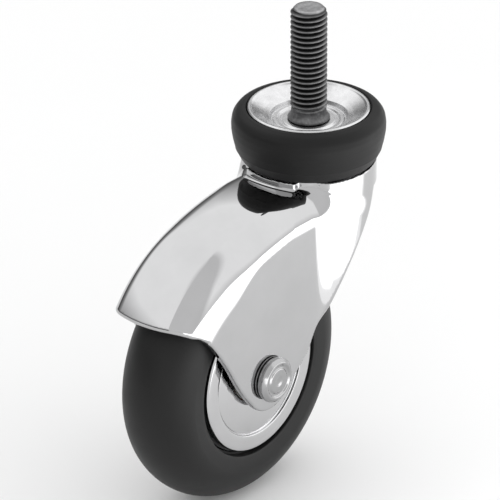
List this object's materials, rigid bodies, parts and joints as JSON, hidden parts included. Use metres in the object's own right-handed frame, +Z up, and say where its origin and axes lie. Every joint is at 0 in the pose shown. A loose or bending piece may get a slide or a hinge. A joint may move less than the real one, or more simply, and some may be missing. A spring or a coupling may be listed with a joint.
{
  "type": "swivel caster",
  "caption": "Swivel caster wheel with a threaded stem, rubber bumper ring, ball-bearing swivel, chromed hood fork and solid rubber tyre.",
  "frame": {"origin": "on the swivel axis, in the plane of the raceway cup's rim, which seats against the furniture", "axes": "+Z up along the swivel and stem axis; Y along the wheel's axle; the wheel trails towards -X at rest"},
  "size_m": [0.0933, 0.042, 0.1305],
  "materials": {
    "stem_steel": "dull dark zinc or phosphate coat",
    "zinc_plate": "bright satin zinc plate on pressed steel",
    "bumper_rubber": "matt black moulded rubber",
    "bearing_steel": "ground hardened steel with a film of grease",
    "ball_steel": "polished hardened steel",
    "chrome_fork": "mirror chrome plate on a zinc casting",
    "chrome_axle": "chrome plate, slightly dull on the head's face",
    "chrome_disc": "bright plated pressed disc",
    "dark_washer": "blackened spring steel",
    "tyre_rubber": "smooth charcoal rubber with a faint sheen",
    "core_plastic": "black moulded nylon",
    "nylon": "natural nylon"
  },
  "bodies": {
    "stem": {"threaded_stem": "stem_steel", "top_raceway_cup": "zinc_plate", "bumper_ring": "bumper_rubber", "lower_bearing_cone": "bearing_steel", "pin_washer": "zinc_plate", "pin_nut": "zinc_plate"},
    "upper_balls": {"upper_ball_01": "ball_steel", "upper_ball_02": "ball_steel", "upper_ball_03": "ball_steel", "upper_ball_04": "ball_steel", "upper_ball_05": "ball_steel", "upper_ball_06": "ball_steel", "upper_ball_07": "ball_steel", "upper_ball_08": "ball_steel", "upper_ball_09": "ball_steel", "upper_ball_10": "ball_steel", "upper_ball_11": "ball_steel", "upper_ball_12": "ball_steel", "upper_ball_13": "ball_steel", "upper_ball_14": "ball_steel", "upper_ball_15": "ball_steel", "upper_ball_16": "ball_steel"},
    "lower_balls": {"lower_ball_01": "ball_steel", "lower_ball_02": "ball_steel", "lower_ball_03": "ball_steel", "lower_ball_04": "ball_steel", "lower_ball_05": "ball_steel", "lower_ball_06": "ball_steel", "lower_ball_07": "ball_steel", "lower_ball_08": "ball_steel", "lower_ball_09": "ball_steel", "lower_ball_10": "ball_steel", "lower_ball_11": "ball_steel", "lower_ball_12": "ball_steel"},
    "fork": {"fork_hood": "chrome_fork", "upper_crown_race": "bearing_steel", "lower_crown_race": "bearing_steel", "axle_screw": "chrome_axle", "axle_barrel_nut": "chrome_axle", "axle_washer_left": "dark_washer", "axle_washer_right": "dark_washer"},
    "wheel": {"tyre": "tyre_rubber", "wheel_core": "core_plastic", "cover_disc_left": "chrome_disc", "cover_disc_right": "chrome_disc", "hub_bush_left": "nylon", "hub_bush_right": "nylon"}
  },
  "joints": [
    {"name": "swivel", "type": "hinge", "parent": "stem", "child": "fork", "pos_m": [0, 0, -0.0065], "axis": [0, 0, 1], "continuous": true},
    {"name": "upper_ball_orbit", "type": "hinge", "parent": "stem", "child": "upper_balls", "pos_m": [0, 0, -0.0065], "axis": [0, 0, 1], "continuous": true},
    {"name": "lower_ball_orbit", "type": "hinge", "parent": "stem", "child": "lower_balls", "pos_m": [0, 0, -0.0225], "axis": [0, 0, 1], "continuous": true},
    {"name": "wheel_roll", "type": "hinge", "parent": "fork", "child": "wheel", "pos_m": [-0.0348, 0, -0.064], "axis": [0, 1, 0], "continuous": true}
  ],
  "couplings": [
    {"joint": "upper_ball_orbit", "follows": "swivel", "ratio": 0.5},
    {"joint": "lower_ball_orbit", "follows": "swivel", "ratio": 0.5}
  ]
}
